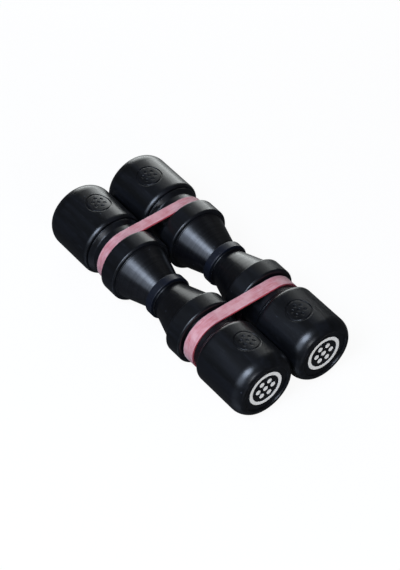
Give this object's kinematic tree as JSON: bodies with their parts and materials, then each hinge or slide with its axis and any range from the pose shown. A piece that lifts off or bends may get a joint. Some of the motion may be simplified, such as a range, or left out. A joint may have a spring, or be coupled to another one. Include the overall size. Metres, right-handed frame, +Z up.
{
  "type": "ganza shaker pair",
  "caption": "Pair of double-ended hourglass ganza shakers with steel shot in closed end cups, held side by side by two flat rubber bands.",
  "frame": {"origin": "on the resting plane, under the middle of the pair, halfway along the waist", "axes": "+X along the shakers towards the right-hand cups, +Y from the front shaker to the back shaker, +Z up"},
  "size_m": [0.1888, 0.0882, 0.044],
  "materials": {
    "cup_plastic": "satin black moulded ABS",
    "collar_plastic": "satin black moulded ABS",
    "cone_plastic": "semi-gloss black moulded ABS with fine turned lines",
    "waist_ring_plastic": "satin blue-black moulded ABS",
    "baffle_plastic": "plain dark moulded ABS",
    "badge_print": "black plate with a white printed ring and dots",
    "shot_steel": "plain steel balls",
    "band_rubber": "dusty pink matt rubber"
  },
  "bodies": {
    "bands": {"left_band": "band_rubber", "right_band": "band_rubber"},
    "front_shaker": {"front_waist_ring": "waist_ring_plastic", "front_left_cup": "cup_plastic", "front_left_badge": "badge_print", "front_left_collar": "collar_plastic", "front_left_cone": "cone_plastic", "front_left_baffle": "baffle_plastic", "front_right_cup": "cup_plastic", "front_right_badge": "badge_print", "front_right_collar": "collar_plastic", "front_right_cone": "cone_plastic", "front_right_baffle": "baffle_plastic"},
    "back_shaker": {"back_waist_ring": "waist_ring_plastic", "back_left_cup": "cup_plastic", "back_left_badge": "badge_print", "back_left_collar": "collar_plastic", "back_left_cone": "cone_plastic", "back_left_baffle": "baffle_plastic", "back_right_cup": "cup_plastic", "back_right_badge": "badge_print", "back_right_collar": "collar_plastic", "back_right_cone": "cone_plastic", "back_right_baffle": "baffle_plastic"},
    "front_left_balls": {"front_left_shot": "shot_steel"},
    "front_right_balls": {"front_right_shot": "shot_steel"},
    "back_left_balls": {"back_left_shot": "shot_steel"},
    "back_right_balls": {"back_right_shot": "shot_steel"}
  },
  "joints": [
    {"name": "front_spin", "type": "hinge", "parent": "bands", "child": "front_shaker", "pos_m": [0, -0.02215, 0.022], "axis": [1, 0, 0], "continuous": true},
    {"name": "back_spin", "type": "hinge", "parent": "bands", "child": "back_shaker", "pos_m": [0, 0.02215, 0.022], "axis": [1, 0, 0], "continuous": true},
    {"name": "front_left_shake", "type": "slide", "parent": "front_shaker", "child": "front_left_balls", "axis": [1, 0, 0], "range_m": [-0.0068, 0.0068]},
    {"name": "front_right_shake", "type": "slide", "parent": "front_shaker", "child": "front_right_balls", "axis": [1, 0, 0], "range_m": [-0.0068, 0.0068]},
    {"name": "back_left_shake", "type": "slide", "parent": "back_shaker", "child": "back_left_balls", "axis": [1, 0, 0], "range_m": [-0.0068, 0.0068]},
    {"name": "back_right_shake", "type": "slide", "parent": "back_shaker", "child": "back_right_balls", "axis": [1, 0, 0], "range_m": [-0.0068, 0.0068]}
  ]
}
